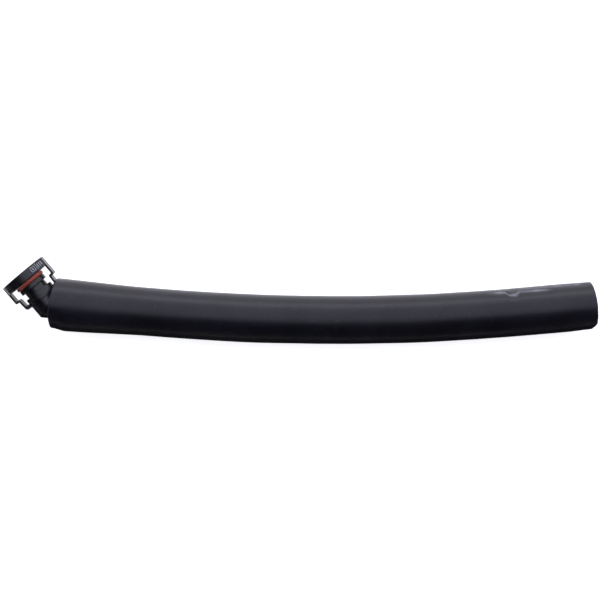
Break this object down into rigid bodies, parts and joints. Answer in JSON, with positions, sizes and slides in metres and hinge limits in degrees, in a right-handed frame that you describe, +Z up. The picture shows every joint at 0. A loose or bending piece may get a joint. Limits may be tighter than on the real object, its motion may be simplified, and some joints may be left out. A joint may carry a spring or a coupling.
{
  "type": "insulated vent hose",
  "caption": "Foam-sleeved crankcase vent hose, gently curved, with a 45 degree elbow coupling that has an O-ring spigot and a squeeze-to-release oval ring at one end.",
  "frame": {"origin": "bottom centre of the whole object, on the surface it lies on", "axes": "+X along the hose, from the coupling to the open end of the sleeve; +Y towards the side that the coupling turns to; +Z up, square to the plane of the hose's bend"},
  "size_m": [0.4284, 0.0629, 0.0367],
  "materials": {
    "coupling_plastic": "moulded glass-filled nylon, black, low sheen",
    "seal_rubber": "red-brown seal rubber, smooth",
    "hose_rubber": "black hose rubber, wrapped cover",
    "cuff_rubber": "black moulded rubber, smooth",
    "clamp_steel": "rolled stainless strip",
    "sleeve_foam": "black closed-cell foam with a smooth skin, soft sheen"
  },
  "bodies": {
    "coupling_and_hose": {"elbow_fitting": "coupling_plastic", "o_ring": "seal_rubber", "inner_hose": "hose_rubber", "elbow_clamp": "clamp_steel", "end_cuff": "cuff_rubber", "cuff_clamp": "clamp_steel", "foam_sleeve": "sleeve_foam"},
    "pad_left": {"ring_pad_left": "coupling_plastic"},
    "pad_right": {"ring_pad_right": "coupling_plastic"},
    "top_left": {"ring_top_left": "coupling_plastic"},
    "top_right": {"ring_top_right": "coupling_plastic"},
    "bottom_left": {"ring_bottom_left": "coupling_plastic"},
    "bottom_right": {"ring_bottom_right": "coupling_plastic"}
  },
  "joints": [
    {"name": "squeeze_left", "type": "slide", "parent": "coupling_and_hose", "child": "pad_left", "axis": [0.7699, 0.6381, 0], "range_m": [0, 0.0012], "stiffness_N_per_m": 12000},
    {"name": "squeeze_right", "type": "slide", "parent": "coupling_and_hose", "child": "pad_right", "axis": [-0.7699, -0.6381, 0], "range_m": [0, 0.0012], "stiffness_N_per_m": 12000},
    {"name": "flex_top_left", "type": "hinge", "parent": "pad_left", "child": "top_left", "pos_m": [-0.2106, 0.00724, 0.02353], "axis": [-0.6381, 0.7699, 0], "range_deg": [-6.4, 0]},
    {"name": "flex_top_middle", "type": "hinge", "parent": "top_left", "child": "top_right", "pos_m": [-0.19826, 0.01746, 0.0335], "axis": [-0.6381, 0.7699, 0], "range_deg": [0, 12.79]},
    {"name": "flex_bottom_right", "type": "hinge", "parent": "pad_right", "child": "bottom_right", "pos_m": [-0.18592, 0.02769, 0.01317], "axis": [-0.6381, 0.7699, 0], "range_deg": [-6.4, 0]},
    {"name": "flex_bottom_middle", "type": "hinge", "parent": "bottom_right", "child": "bottom_left", "pos_m": [-0.19826, 0.01746, 0.0032], "axis": [-0.6381, 0.7699, 0], "range_deg": [0, 12.79]}
  ],
  "couplings": [
    {"joint": "squeeze_right", "follows": "squeeze_left", "ratio": 1},
    {"joint": "flex_top_left", "follows": "squeeze_left", "rad_per_m": -92.286},
    {"joint": "flex_top_middle", "follows": "squeeze_left", "rad_per_m": 184.57},
    {"joint": "flex_bottom_right", "follows": "squeeze_left", "rad_per_m": -92.286},
    {"joint": "flex_bottom_middle", "follows": "squeeze_left", "rad_per_m": 184.57}
  ]
}
